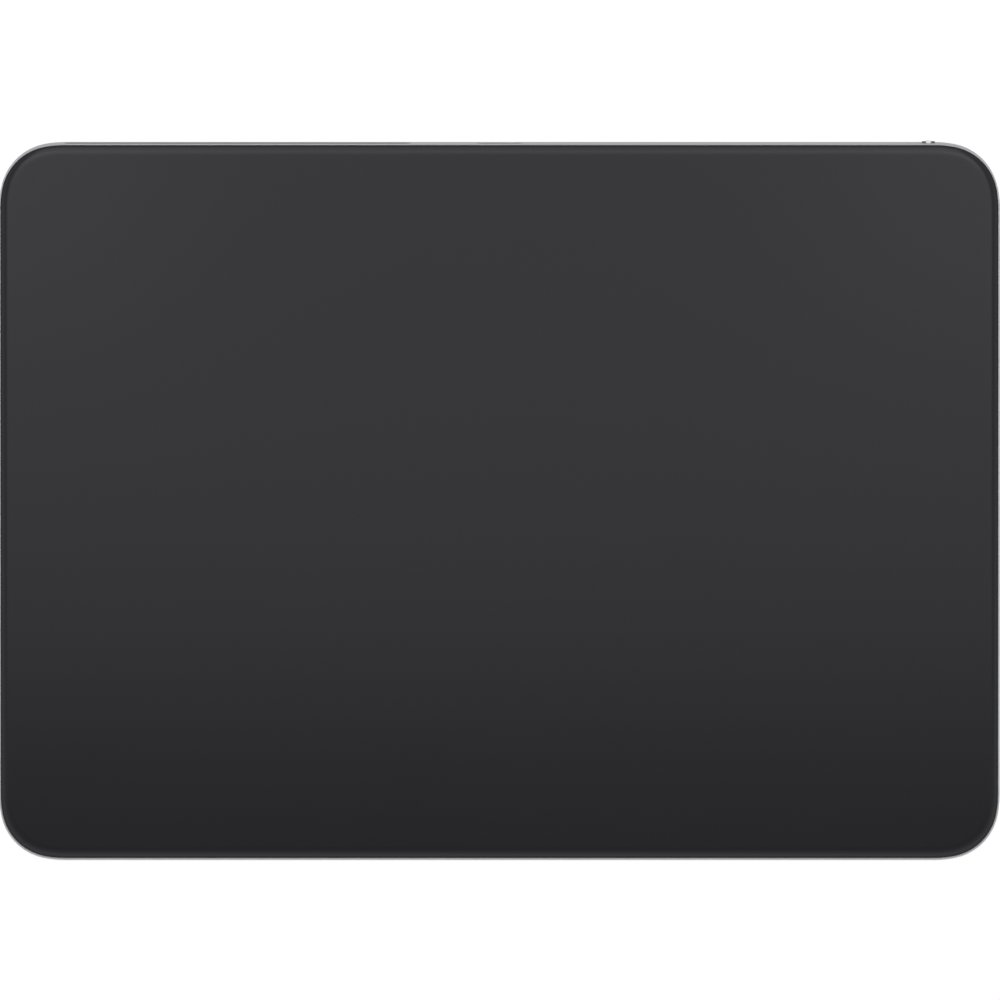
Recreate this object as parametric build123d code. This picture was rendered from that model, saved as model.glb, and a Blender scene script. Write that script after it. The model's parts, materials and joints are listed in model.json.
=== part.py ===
from build123d import *
from math import atan2, cos, radians, sin, tan
import os

os.makedirs("parts", exist_ok=True)

# A thin wedge-shaped desktop trackpad. It stands on four rubber feet at z = 0.
# X runs along the rear edge, +Y points to the rear and +Z up.
# All lengths are in millimetres. "Depth" means below the touch surface, along its normal.

# Overall size, with the heights of the touch surface where its edge rounding starts
overall_width = 160.0
overall_depth = 114.9
front_height = 4.9
rear_height = 10.9
foot_height = 0.7

# Corners of the body, each a tight arc between two easing arcs
corner_radius = 8.7
easing_radius = 17.3
easing_turn = 11.0

# Touch glass: it stands back from the body's edge and has a softly rounded rim
ledge = 0.27
glass_set_back = 0.15
glass_thickness = 1.0
crown_run = 2.0
crown_drop = 0.5
crown_radius = 7.0
brow_radius = 0.25
glass_under_chamfer = 0.1
rim_gap = 0.35
press_travel = 0.15

# Layers under the glass
bond_thickness = 0.1
sensor_inset = 3.0
sensor_thickness = 0.5
carrier_inset = 3.4
carrier_thickness = 0.5
window_radius = 1.5
chip_window_width = 24.0
chip_window_depth = 14.0
rear_window_width = 36.0
rear_window_depth = 18.0
front_window_width = 30.0
front_window_depth = 10.0
seal_thickness = 0.1
seal_inset = 0.35
seal_width = 0.95

# Housing: walls square to the glass, a flange round the underside, a flat base
wall_thickness = 1.5
under_radius = 0.6
rim_chamfer = 0.12
flange_thickness = 0.5
front_flange = 8.0
side_flange = 6.0
rear_flange = 10.0
base_window_radius = 4.0

# Bottom cover, bonded to the flange inside a narrow metal rim
metal_rim = 1.4
cover_gap = 0.15
cover_thickness = 0.6
cover_bond_inset = 0.8
cover_edge_chamfer = 0.1

# Feet, set in shallow seats in the cover
foot_radius = 5.0
foot_seat = 0.3
foot_seat_gap = 0.1
foot_inset = 14.0
foot_edge_radius = 0.25

# Chassis plate, screwed to the flange
plate_thickness = 0.4
plate_gap = 0.5
plate_screw_inset_front = 5.9
plate_screw_inset_rear = 5.1
front_screw_shares = (-0.85, -0.29, 0.29, 0.85)
rear_screw_shares = (-0.85, -0.29, 0.29, 0.70)

# Small screws
screw_shank_radius = 0.7
screw_head_radius = 1.2
screw_head_height = 0.3
screw_drive_radius = 0.45
screw_drive_depth = 0.2
plate_screw_length = 0.85
arm_screw_length = 1.3
board_screw_length = 1.2
thread_gap = 0.03
post_radius = 1.6

# Force-sensing arms with their load buttons and gel pads
load_inset_side = 32.0
load_inset_end = 16.0
gel_radius = 3.2
gel_thickness = 0.3
button_radius = 2.4
button_height = 0.3
arm_thickness = 0.4
arm_width = 7.0
arm_nose = 3.6
arm_side_inset = 14.6
arm_corner_radius = 1.5
arm_foot = 6.0
arm_slot_length = 5.5
arm_slot_width = 0.8
arm_slot_spread = 3.6
arm_screw_spread = 3.8
gauge_length = 4.0
gauge_width = 1.8
gauge_thickness = 0.1

# Haptic drive under the middle of the glass
haptic_width_share = 0.5333
haptic_depth = 16.0
haptic_front_of_battery = 5.5
haptic_air = 0.25
armature_thickness = 0.3
armature_overhang = 1.0
bracket_thickness = 0.3
bracket_ear = 6.0
core_base_depth = 4.0
tooth_count = 4
tooth_width = 4.0
tooth_end_inset = 2.0
coil_gap = 0.15
coil_width = 1.4
coil_below_tooth = 0.2
haptic_screw_spread = 10.0

# Battery in the middle of the rear half, as large as the room round it allows
battery_side_room = 33.5
battery_middle_room = 8.0
battery_thickness = 4.3
battery_corner_radius = 2.0
battery_edge_radius = 0.8
battery_gap = 0.4
rear_strip = 11.95
guard_board_width = 17.0
guard_board_depth = 3.3
guard_board_gap = 0.5
guard_flex_offset = 2.0
tab_width = 3.0
tab_thickness = 0.15

# Boards and flat flexible leads
board_thickness = 0.7
board_standoff = 0.5
small_board_thickness = 0.6
board_corner_radius = 1.0
board_edge = 0.15
logic_depth = 29.0
logic_side_gap = 5.5
logic_haptic_gap = 1.0
logic_battery_gap = 4.6
can_post_gap = 4.4
can_depth = 12.5
can_height = 1.1
can_wall = 0.15
can_inset = 3.0
chip_height = 0.45
large_chip_width = 7.0
middle_chip_width = 5.0
small_chip_width = 4.0
chip_pitch = 8.0
flex_thickness = 0.15
flex_width = 3.0
flex_lap = 3.0
socket_length = 4.0
socket_depth = 2.5
port_flex_gap = 1.4
switch_flex_inset = 1.0
sensor_flex_width = 8.0
sensor_flex_inset = 25.0
sensor_window_margin = 1.3

# Features on the centre line of the rear wall
feature_depth = 5.4
strip_left_inset = 10.4
strip_right_end = 14.1
strip_height = 2.7
strip_gap = 0.03
antenna_bar_end_gap = 0.75
antenna_bar_depth = 3.0
antenna_bar_height = 3.0
antenna_bar_gap = 0.3
element_thickness = 0.1
element_width = 1.6
element_slit = 0.4
element_slit_count = 9
lead_radius = 0.4
lead_bend = 3.0
lead_clearance = 0.15
lead_start_inset = 6.0

# Charging port
port_width = 7.65
port_height = 2.7
port_insulator_gap = 0.1
port_set_in = 0.4
port_depth = 8.0
cavity_width = 6.9
cavity_height = 1.9
cavity_depth = 6.2
port_shell_gap = 0.05
port_shell_wall = 0.4
port_shell_behind_wall = 0.2
contact_count = 8
contact_pitch = 0.65
contact_width = 0.32
contact_length = 4.2
contact_thickness = 0.1
port_board_width = 16.0
port_board_depth = 7.8
port_board_behind_wall = 0.7
port_screw_spread = 12.6
port_screw_inset = 2.8
port_flex_start = 2.0
port_post_radius = 1.2

# Power switch near the right end of the rear wall
switch_slot_length = 4.65
switch_slot_height = 1.7
switch_slot_inset = 12.67
knob_width = 2.08
knob_height = 1.5
knob_proud = 0.3
knob_play = 0.03
ridge_width = 0.88
ridge_proud = 0.06
ridge_seat = 0.4
ridge_play = 0.02
switch_wall = 0.8
shutter_gap = 0.1
shutter_thickness = 0.4
shutter_height = 2.4
shutter_lap = 0.42
pocket_margin = 0.2
lever_width = 1.2
lever_height = 1.0
lever_entry = 0.7
lever_play = 0.15
switch_body_gap = 0.3
switch_body_width = 7.4
switch_body_depth = 2.6
switch_body_height = 2.4
switch_board_width = 9.4
switch_board_depth = 5.5
switch_board_gap = 0.4
switch_screw_inset = 1.3
switch_screw_spread = 2.6

# The touch surface's plane and the heights and depths worked out from the sizes above
tilt = atan2(rear_height - front_height, overall_depth - 2 * crown_run)
middle_height = (front_height + rear_height) / 2
deck = Plane((0, 0, middle_height), x_dir=(1, 0, 0), z_dir=(0, -sin(tilt), cos(tilt)))
deck_place = deck.location
half_depth = overall_depth / 2
rim_depth = glass_thickness + rim_gap
rear_drop = (middle_height + half_depth * tan(tilt) - foot_height - under_radius) * cos(tilt)
body_front = -(half_depth + rim_depth * sin(tilt)) / cos(tilt)
body_rear = (half_depth - rear_drop * sin(tilt)) / cos(tilt)
body_depth = body_rear - body_front
body_centre = (body_rear + body_front) / 2
body_place = deck_place * Pos(0, body_centre, 0)
glass_place = deck_place * Pos(0, body_centre + glass_set_back, 0)
reach = 2 * overall_width

sensor_top = glass_thickness + bond_thickness
carrier_top = sensor_top + sensor_thickness
carrier_low = carrier_top + carrier_thickness
button_top = carrier_low + gel_thickness
arm_top = button_top + button_height
arm_low = arm_top + arm_thickness
core_top = carrier_low + armature_thickness + press_travel + haptic_air

cover_high = foot_height + cover_thickness
flange_low = cover_high + bond_thickness
plate_low = flange_low + flange_thickness
plate_high = plate_low + plate_thickness
board_low = plate_high + board_standoff
board_high = board_low + board_thickness

inner_half_width = overall_width / 2 - wall_thickness
inner_half_depth = half_depth - wall_thickness
base_window_width = 2 * (inner_half_width - side_flange)
base_window_front = -inner_half_depth + front_flange
base_window_rear = inner_half_depth - rear_flange

load_x = overall_width / 2 - load_inset_side
load_front = body_front + load_inset_end
load_rear = body_rear - load_inset_end
arm_reach = load_inset_side - arm_side_inset

battery_rear = inner_half_depth - rear_strip
battery_front = battery_middle_room
battery_width = 2 * (inner_half_width - battery_side_room)
battery_depth = battery_rear - battery_front
battery_y = (battery_rear + battery_front) / 2
battery_low = cover_high + bond_thickness
haptic_v = battery_front - haptic_front_of_battery - haptic_depth / 2
haptic_width = haptic_width_share * battery_width
logic_right = inner_half_width - logic_side_gap
logic_left = haptic_width / 2 + bracket_ear + logic_haptic_gap
logic_width = logic_right - logic_left
logic_x = (logic_right + logic_left) / 2
logic_rear = battery_front - logic_battery_gap
logic_y = logic_rear - logic_depth / 2
logic_post_shares = ((-0.44, -0.4), (0.44, -0.4), (0.2, 0.42))
can_left = logic_left + can_inset
can_right = logic_x + logic_post_shares[2][0] * logic_width - can_post_gap
can_width = can_right - can_left
battery_flex_x = (logic_left + battery_width / 2) / 2
guard_rear = battery_front - guard_board_gap
guard_x = battery_flex_x - guard_flex_offset

strip_length = overall_width / 2 - strip_left_inset - strip_right_end
strip_x = -(strip_right_end + strip_length / 2)
switch_x = overall_width / 2 - switch_slot_inset
knob_travel = switch_slot_length - knob_width - 2 * knob_play
knob_x = switch_x + switch_slot_length / 2 - knob_width / 2 - knob_play
shutter_start = switch_wall + shutter_gap
shutter_width = switch_slot_length + knob_travel + 2 * shutter_lap
shutter_x = switch_x + knob_travel / 2
switch_body_start = wall_thickness + switch_body_gap
switch_board_top = feature_depth + switch_body_height / 2
port_shell_width = port_width - 2 * port_insulator_gap + 2 * (port_shell_gap + port_shell_wall)
port_shell_height = port_height - 2 * port_insulator_gap + 2 * (port_shell_gap + port_shell_wall)
port_board_top = feature_depth + port_shell_height / 2
port_board_start = wall_thickness + port_board_behind_wall
port_flex_x = battery_width / 2 + battery_gap + port_flex_gap + flex_width / 2
port_flex_y = battery_rear + battery_gap + 2 * lead_radius + port_flex_gap + flex_width / 2


def soft_outline(grow):
    """The body's outline, grown or shrunk evenly; each corner eases through three arcs."""
    half_x = overall_width / 2 + grow
    half_y = body_depth / 2 + grow
    easing = easing_radius + grow
    tight = corner_radius + grow
    turn = radians(easing_turn)
    lead_in = easing - (easing - tight) * (cos(turn) - sin(turn))
    flat_x, flat_y = half_x - lead_in, half_y - lead_in
    tight_x = flat_x + (easing - tight) * sin(turn)
    tight_y = flat_y + (easing - tight) * sin(turn)
    corner = Curve() + [
        CenterArc((flat_x, half_y - easing), easing, 90, -easing_turn),
        CenterArc((tight_x, tight_y), tight, 90 - easing_turn, 2 * easing_turn - 90),
        CenterArc((half_x - easing, flat_y), easing, easing_turn, -easing_turn),
    ]
    right = corner + mirror(corner, Plane.XZ)
    sides = [Line((-flat_x, s * half_y), (flat_x, s * half_y)) for s in (1, -1)]
    sides += [Line((s * half_x, -flat_y), (s * half_x, flat_y)) for s in (1, -1)]
    return make_face(right + mirror(right, Plane.YZ) + sides)


def layer(sketch, depth, thickness, place=body_place):
    """A sheet parallel to the touch surface with its top face at that depth."""
    return place * Pos(0, 0, -depth - thickness) * extrude(sketch, thickness)


def level(sketch, low, thickness):
    """A flat sheet parallel to the desk."""
    return Pos(0, 0, low) * extrude(sketch, thickness)


def above(height):
    """Everything above a height over the desk."""
    align = (Align.CENTER, Align.CENTER, Align.MIN)
    return Pos(0, 0, height) * Box(reach, reach, reach, align=align)


def below(height):
    """Everything below a height over the desk."""
    align = (Align.CENTER, Align.CENTER, Align.MAX)
    return Pos(0, 0, height) * Box(reach, reach, reach, align=align)


def deck_prism(sketch, x, v, depth, floor):
    """Stands square to the touch surface, from a depth down to a height over the desk."""
    stock = deck_place * Pos(x, v, -depth - rear_height) * extrude(sketch, rear_height)
    return stock & above(floor)


def behind_wall(sketch, x, start, length):
    """Runs inwards along the rear wall's normal, from a distance behind its outer face."""
    face = deck_place * Pos(x, body_rear, -feature_depth) * Rot(-90, 0, 0)
    return face * Pos(0, 0, -start - length) * extrude(sketch, length)


def screw(length):
    """A low-headed machine screw, its head's underside at the origin and its shank down."""
    head = extrude(Circle(screw_head_radius), screw_head_height)
    drive = Pos(0, 0, screw_head_height - screw_drive_depth) * extrude(
        RegularPolygon(screw_drive_radius, 6), screw_drive_depth
    )
    return head - drive + extrude(Circle(screw_shank_radius), -length)


def screw_hole(length):
    """The hole for a screw's shank, a thread's clearance wider."""
    return extrude(Circle(screw_shank_radius + thread_gap), -length)


def y_of(v, depth):
    """Level Y of a point given by its place along the touch surface and its depth."""
    return v * cos(tilt) + depth * sin(tilt)


def v_of(y, depth):
    """Place along the touch surface of a point given by its level Y and its depth."""
    return (y - depth * sin(tilt)) / cos(tilt)


def touch_glass():
    """The black glass, with a long shallow bevel whose two creases are rounded."""
    blank = extrude(soft_outline(-ledge), -glass_thickness)
    top = blank.faces().sort_by(Axis.Z)[-1]
    glass = chamfer(top.edges(), crown_run, crown_drop, reference=top)
    crown = glass.faces().sort_by(Axis.Z)[-1].edges()
    brow = glass.edges().filter_by_position(Axis.Z, -crown_drop, -crown_drop)
    glass = fillet(brow, brow_radius)
    crown = glass.faces().sort_by(Axis.Z)[-1].edges()
    glass = fillet(crown, crown_radius)
    under = glass.faces().sort_by(Axis.Z)[0].edges()
    return glass_place * chamfer(under, glass_under_chamfer)


def glass_bond():
    return layer(soft_outline(-sensor_inset), glass_thickness, bond_thickness)


def touch_sensor_board():
    return layer(soft_outline(-sensor_inset), sensor_top, sensor_thickness)


# Pairs of windows in the carrier plate, placed by shares of half its width and half its depth
chip_window_shares = (0.65, -0.08)
rear_window_shares = (0.35, 0.40)
front_window_shares = (0.28, -0.56)


def carrier_windows():
    """Each window's centre and size, one left and one right of the middle."""
    pairs = (
        (chip_window_shares, chip_window_width, chip_window_depth),
        (rear_window_shares, rear_window_width, rear_window_depth),
        (front_window_shares, front_window_width, front_window_depth),
    )
    return [
        (s * x_share * overall_width / 2, v_share * half_depth, width, depth)
        for (x_share, v_share), width, depth in pairs
        for s in (-1, 1)
    ]


def sensor_flex_x():
    return overall_width / 2 - sensor_flex_inset


def sensor_flex_v():
    return (logic_y - logic_depth / 2 + load_front + arm_width / 2) / 2


def carrier_plate():
    """Stiffener under the sensor board, with windows for chips, a lead and less weight."""
    plate = layer(soft_outline(-carrier_inset), carrier_top, carrier_thickness)
    for x, v, width, depth in carrier_windows():
        hole = RectangleRounded(width, depth, window_radius)
        plate -= layer(hole, carrier_top, carrier_thickness, deck_place * Pos(x, v, 0))
    slot_size = sensor_flex_width + 2 * sensor_window_margin
    slot = RectangleRounded(slot_size, flex_lap + 2 * sensor_window_margin, window_radius)
    place = deck_place * Pos(sensor_flex_x(), sensor_flex_v(), 0)
    return plate - layer(slot, carrier_top, carrier_thickness, place)


def sensor_chips():
    """Touch controller chips on the sensor board's underside, inside a carrier window."""
    x, v, _, _ = carrier_windows()[0]
    row = {-chip_pitch: middle_chip_width, 0: large_chip_width, chip_pitch: small_chip_width}
    chips = [
        layer(Rectangle(side, side), carrier_top, chip_height, deck_place * Pos(x + step, v, 0))
        for step, side in row.items()
    ]
    return Compound(chips)


def rim_seal():
    """A dark tape on the housing's rim, under the gap below the glass edge."""
    ring = soft_outline(-seal_inset) - soft_outline(-seal_inset - seal_width)
    return layer(ring, rim_depth - seal_thickness, seal_thickness)


def load_points():
    """The four places that carry the touch plate: side, place along X, place along depth."""
    return [(s, s * load_x, v) for v in (load_front, load_rear) for s in (-1, 1)]


def gel_pads():
    pads = [
        layer(Circle(gel_radius), carrier_low, gel_thickness, deck_place * Pos(x, v, 0))
        for _, x, v in load_points()
    ]
    return Compound(pads)


def load_buttons():
    buttons = [
        layer(Circle(button_radius), button_top, button_height, deck_place * Pos(x, v, 0))
        for _, x, v in load_points()
    ]
    return Compound(buttons)


def arm_place(side, x, v):
    """Frame at a load point whose +X runs outwards along the arm."""
    return deck_place * Pos(x, v, 0) * Rot(0, 0, 0 if side > 0 else 180)


def arm_screw_spots():
    along = arm_reach - arm_foot / 2
    return [(along, s * arm_screw_spread / 2) for s in (-1, 1)]


def force_arm(side, x, v):
    """A spring-steel arm: a nose under the load button, a slotted waist and a screwed foot."""
    length = arm_nose + arm_reach
    outline = Pos((arm_reach - arm_nose) / 2, 0) * RectangleRounded(
        length, arm_width, arm_corner_radius
    )
    waist = (button_radius + arm_reach - arm_foot) / 2
    for s in (-1, 1):
        outline -= Pos(waist, s * arm_slot_spread / 2) * SlotOverall(
            arm_slot_length, arm_slot_width
        )
    for along, across in arm_screw_spots():
        outline -= Pos(along, across) * Circle(screw_shank_radius + thread_gap)
    return layer(outline, arm_top, arm_thickness, arm_place(side, x, v))


def strain_gauges():
    """A foil gauge on the waist of each arm."""
    waist = (button_radius + arm_reach - arm_foot) / 2
    foils = [
        layer(
            Pos(waist, 0) * Rectangle(gauge_length, gauge_width),
            arm_top - gauge_thickness,
            gauge_thickness,
            arm_place(*point),
        )
        for point in load_points()
    ]
    return Compound(foils)


def arm_screws():
    screws = [
        arm_place(*point) * Pos(*spot, -arm_top) * screw(arm_screw_length)
        for point in load_points()
        for spot in arm_screw_spots()
    ]
    return Compound(screws)


def armature_plate():
    """The steel plate on the carrier that the haptic core pulls sideways."""
    outline = RectangleRounded(
        haptic_width + 2 * armature_overhang, haptic_depth - armature_overhang, window_radius
    )
    place = deck_place * Pos(0, haptic_v, 0)
    return layer(outline, carrier_low, armature_thickness, place)


def base_window():
    """The opening in the housing's base, inside its flange."""
    depth = base_window_rear - base_window_front
    centre = (base_window_rear + base_window_front) / 2
    return Pos(0, centre) * RectangleRounded(base_window_width, depth, base_window_radius)


def housing():
    """The aluminium body: leaning walls, a flange round the base, and the rear openings."""
    tall = layer(soft_outline(0), rim_depth, 2 * rear_height)
    body = tall & above(foot_height)
    body = fillet(body.faces().sort_by(Axis.Z)[0].edges(), under_radius)
    rim_face = body.faces().filter_by(lambda f: f.normal_at().dot(deck.z_dir) > 0.999)
    body = chamfer(rim_face.sort_by(Axis.Z)[-1].edges(), rim_chamfer)
    body -= layer(soft_outline(-wall_thickness), 0, 2 * rear_height) & above(plate_low)
    body -= level(base_window(), 0, rear_height)
    body -= layer(soft_outline(-metal_rim), 0, 2 * rear_height) & below(flange_low)
    body -= behind_wall(SlotOverall(strip_length, strip_height), strip_x, 0, wall_thickness)
    body -= behind_wall(SlotOverall(port_width, port_height), 0, 0, wall_thickness)
    slot = SlotOverall(switch_slot_length, switch_slot_height)
    body -= behind_wall(slot, switch_x, 0, wall_thickness)
    pocket_width = shutter_width + knob_travel + 2 * pocket_margin
    pocket = Rectangle(pocket_width, shutter_height + 2 * pocket_margin)
    body -= behind_wall(pocket, switch_x, switch_wall, wall_thickness)
    for spot in plate_screw_spots():
        body -= Pos(*spot, plate_high) * screw_hole(plate_thickness + flange_thickness)
    return body


def foot_spots():
    half_x, half_y = overall_width / 2 - foot_inset, half_depth - foot_inset
    return {
        "front_left": (-half_x, -half_y),
        "front_right": (half_x, -half_y),
        "rear_left": (-half_x, half_y),
        "rear_right": (half_x, half_y),
    }


def bottom_cover():
    """The plastic cover let into the underside, with a round seat for each foot."""
    stock = layer(soft_outline(-metal_rim - cover_gap), 0, 2 * rear_height)
    cover = stock & above(foot_height) & below(cover_high)
    cover = chamfer(cover.faces().sort_by(Axis.Z)[0].edges(), cover_edge_chamfer)
    seat = Circle(foot_radius + foot_seat_gap)
    for x, y in foot_spots().values():
        cover -= Pos(x, y) * level(seat, foot_height, foot_seat)
    return cover


def cover_bond():
    """The film between the cover and the housing's flange."""
    stock = layer(soft_outline(-metal_rim - cover_bond_inset), 0, 2 * rear_height)
    film = stock & above(cover_high) & below(flange_low)
    return film - level(offset(base_window(), cover_bond_inset), 0, rear_height)


def foot(x, y):
    pad = Pos(x, y) * extrude(Circle(foot_radius), foot_height + foot_seat)
    return fillet(pad.edges().sort_by(Axis.Z)[0], foot_edge_radius)


def plate_screw_spots():
    """Screws along the front and rear of the chassis plate."""
    front = -half_depth + plate_screw_inset_front
    rear = half_depth - plate_screw_inset_rear
    spots = [(share * overall_width / 2, front) for share in front_screw_shares]
    return spots + [(share * overall_width / 2, rear) for share in rear_screw_shares]


def plate_screws():
    screws = [
        Pos(*spot, plate_high) * screw(plate_screw_length) for spot in plate_screw_spots()
    ]
    return Compound(screws)


def logic_post_spots():
    return [
        (logic_x + x_share * logic_width, logic_y + y_share * logic_depth)
        for x_share, y_share in logic_post_shares
    ]


def haptic_screw_spots():
    across = haptic_width / 2 + bracket_ear / 2
    along = y_of(haptic_v, core_base_depth)
    return [
        (sx * across, along + sy * haptic_screw_spread / 2) for sx in (-1, 1) for sy in (-1, 1)
    ]


def port_screw_spots():
    v = body_rear - port_board_start - port_screw_inset
    return [(s * port_screw_spread / 2, v) for s in (-1, 1)]


def switch_board_start():
    return wall_thickness + switch_board_gap


def switch_screw_spots():
    v = body_rear - switch_board_start() - switch_board_depth + switch_screw_inset
    left = switch_x - switch_board_width / 2 + switch_screw_inset
    return [(left, v), (left + switch_screw_spread, v)]


def antenna_post_spots():
    v = body_rear - wall_thickness - antenna_bar_gap - antenna_bar_depth / 2
    return [(strip_x + s * strip_length / 4, v) for s in (-1, 1)]


def chassis_plate():
    """The steel plate that carries everything inside, with posts for the arms and boards."""
    stock = layer(soft_outline(-wall_thickness - plate_gap), 0, 2 * rear_height)
    plate = stock & above(plate_low) & below(plate_high)
    bay_width = battery_width + 2 * battery_gap
    bay_depth = battery_depth + 2 * battery_gap
    bay = RectangleRounded(bay_width, bay_depth, battery_corner_radius)
    plate -= level(Pos(0, battery_y) * bay, 0, rear_height)
    anchor = Pos(arm_reach - arm_foot / 2, 0) * Rectangle(arm_foot, arm_width)
    for point in load_points():
        post = arm_place(*point) * Pos(0, 0, -arm_low - rear_height)
        plate += post * extrude(anchor, rear_height) & above(plate_low)
        for spot in arm_screw_spots():
            plate -= arm_place(*point) * Pos(*spot, -arm_top) * screw_hole(rear_height)
    for x, y in logic_post_spots():
        plate += level(Pos(x, y) * Circle(post_radius), plate_low, board_low - plate_low)
        plate -= Pos(x, y, board_high) * screw_hole(rear_height)
    for x, y in haptic_screw_spots():
        plate -= Pos(x, y, plate_high) * screw_hole(rear_height)
    for x, v in port_screw_spots():
        top = port_board_top + small_board_thickness
        plate += deck_prism(Circle(port_post_radius), x, v, top, plate_low)
        plate -= deck_place * Pos(x, v, -port_board_top) * screw_hole(rear_height)
    for x, v in switch_screw_spots():
        top = switch_board_top + small_board_thickness
        plate += deck_prism(Circle(port_post_radius), x, v, top, plate_low)
        plate -= deck_place * Pos(x, v, -switch_board_top) * screw_hole(rear_height)
    for x, v in antenna_post_spots():
        top = feature_depth + antenna_bar_height / 2
        plate += deck_prism(Circle(port_post_radius), x, v, top, plate_low)
    for spot in plate_screw_spots():
        plate -= Pos(*spot, plate_high) * screw_hole(rear_height)
    return plate


def haptic_bracket():
    """A thin steel tray under the core, with an ear at each end."""
    width = haptic_width + 2 * bracket_ear
    tray = Pos(0, y_of(haptic_v, core_base_depth)) * RectangleRounded(
        width, haptic_depth, window_radius
    )
    bracket = level(tray, plate_high, bracket_thickness)
    for x, y in haptic_screw_spots():
        bracket -= Pos(x, y, plate_high + bracket_thickness) * screw_hole(bracket_thickness)
    return bracket


def haptic_screws():
    screws = [
        Pos(x, y, plate_high + bracket_thickness) * screw(board_screw_length / 2)
        for x, y in haptic_screw_spots()
    ]
    return Compound(screws)


def tooth_length():
    """The teeth end a little inside the core's front and rear faces."""
    return haptic_depth - 2 * tooth_end_inset


def tooth_places():
    pitch = haptic_width / tooth_count
    return [(i - (tooth_count - 1) / 2) * pitch for i in range(tooth_count)]


def haptic_core():
    """A laminated iron core: a base with a row of teeth that reach up to the armature."""
    floor = plate_high + bracket_thickness
    base = Rectangle(haptic_width, haptic_depth)
    core = deck_prism(base, 0, haptic_v, core_base_depth, floor)
    tooth = Rectangle(tooth_width, tooth_length())
    for x in tooth_places():
        core += layer(tooth, core_top, core_base_depth - core_top, deck_place * Pos(x, haptic_v, 0))
    return core


def haptic_coils():
    """One copper winding round each tooth."""
    hole = Rectangle(tooth_width + 2 * coil_gap, tooth_length() + 2 * coil_gap)
    outer = RectangleRounded(
        tooth_width + 2 * (coil_gap + coil_width),
        tooth_length() + 2 * (coil_gap + coil_width),
        coil_width,
    )
    top = core_top + coil_below_tooth
    windings = [
        layer(outer - hole, top, core_base_depth - top, deck_place * Pos(x, haptic_v, 0))
        for x in tooth_places()
    ]
    return Compound(windings)


def battery_cell():
    """A flat pouch cell with soft edges."""
    outline = RectangleRounded(battery_width, battery_depth, battery_corner_radius)
    cell = level(Pos(0, battery_y) * outline, battery_low, battery_thickness)
    ends = cell.faces().sort_by(Axis.Z)
    return fillet(ends[0].edges() + ends[-1].edges(), battery_edge_radius)


def battery_bond():
    """The film that holds the cell down on the bottom cover."""
    film = Rectangle(battery_width - 4 * battery_gap, battery_depth - 4 * battery_gap)
    return level(Pos(0, battery_y) * film, cover_high, bond_thickness)


def battery_guard_board():
    """The cell's protection board, on the chassis plate in front of the cell."""
    outline = Pos(guard_x, guard_rear - guard_board_depth / 2) * Rectangle(
        guard_board_width, guard_board_depth
    )
    return level(outline, plate_high + flex_thickness, small_board_thickness)


def battery_tabs():
    """Two nickel tabs from the cell to its protection board."""
    low = plate_high + flex_thickness + small_board_thickness
    length = guard_board_gap + guard_board_depth / 2
    tabs = [
        level(
            Pos(guard_x + s * guard_board_width / 4, battery_front - length / 2)
            * Rectangle(tab_width, length),
            low,
            tab_thickness,
        )
        for s in (-1, 1)
    ]
    return Compound(tabs)


def strip(x_low, x_high, y_low, y_high):
    """A flat flexible lead lying on the chassis plate."""
    outline = Pos((x_low + x_high) / 2, (y_low + y_high) / 2) * Rectangle(
        x_high - x_low, y_high - y_low
    )
    return level(outline, plate_high, flex_thickness)


def riser(x, v, depth):
    """A flexible lead's end, turned up to the underside of a small board."""
    return deck_prism(Rectangle(flex_width, flex_thickness), x, v, depth, plate_high)


def battery_flex():
    x = battery_flex_x
    front = logic_rear - flex_lap - socket_depth
    return strip(x - flex_width / 2, x + flex_width / 2, front, guard_rear)


def haptic_flex_y():
    return y_of(haptic_v, core_base_depth) - haptic_depth / 4


def haptic_flex():
    start = haptic_width / 2 + bracket_ear
    y = haptic_flex_y()
    end = logic_left + socket_length + board_edge
    return strip(start, end, y - flex_width / 2, y + flex_width / 2)


def port_flex():
    """From the port board along the rear of the battery bay, then forward to the logic board."""
    x, y = port_flex_x, port_flex_y
    start = port_flex_start - flex_width / 2
    across = strip(start, x + flex_width / 2, y - flex_width / 2, y + flex_width / 2)
    front = logic_rear - flex_lap - socket_depth
    along = strip(x - flex_width / 2, x + flex_width / 2, front, y)
    low = port_board_top + small_board_thickness
    return across + along + riser(port_flex_start, v_of(y, low), low)


def switch_flex_x():
    return switch_x + switch_board_width / 2 - switch_flex_inset - flex_width / 2


def switch_flex():
    """From the switch board forward to the logic board."""
    x = switch_flex_x()
    low = switch_board_top + small_board_thickness
    v = body_rear - switch_board_start() - switch_board_depth / 2
    front = logic_rear - flex_lap - socket_depth
    along = strip(x - flex_width / 2, x + flex_width / 2, front, y_of(v, low) + flex_width / 2)
    return along + riser(x, v, low)


def sensor_flex():
    """From the sensor board down through the carrier's window and back to the logic board."""
    x, v = sensor_flex_x(), sensor_flex_v()
    place = deck_place * Pos(x, v, 0)
    tab = layer(Rectangle(sensor_flex_width, flex_lap), carrier_top, flex_thickness, place)
    drop = deck_prism(
        Rectangle(sensor_flex_width, flex_thickness), x, v, carrier_top, board_high
    )
    start = y_of(v, carrier_low)
    end = logic_y - logic_depth / 2 + flex_lap
    tail = level(
        Pos(x, (start + end) / 2) * Rectangle(sensor_flex_width, end - start),
        board_high,
        flex_thickness,
    )
    return tab + drop + tail


def logic_board():
    outline = Pos(logic_x, logic_y) * RectangleRounded(
        logic_width, logic_depth, board_corner_radius
    )
    board = level(outline, board_low, board_thickness)
    for x, y in logic_post_spots():
        board -= Pos(x, y, board_high) * screw_hole(board_thickness)
    return board


def logic_screws():
    screws = [Pos(x, y, board_high) * screw(board_screw_length) for x, y in logic_post_spots()]
    return Compound(screws)


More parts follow.
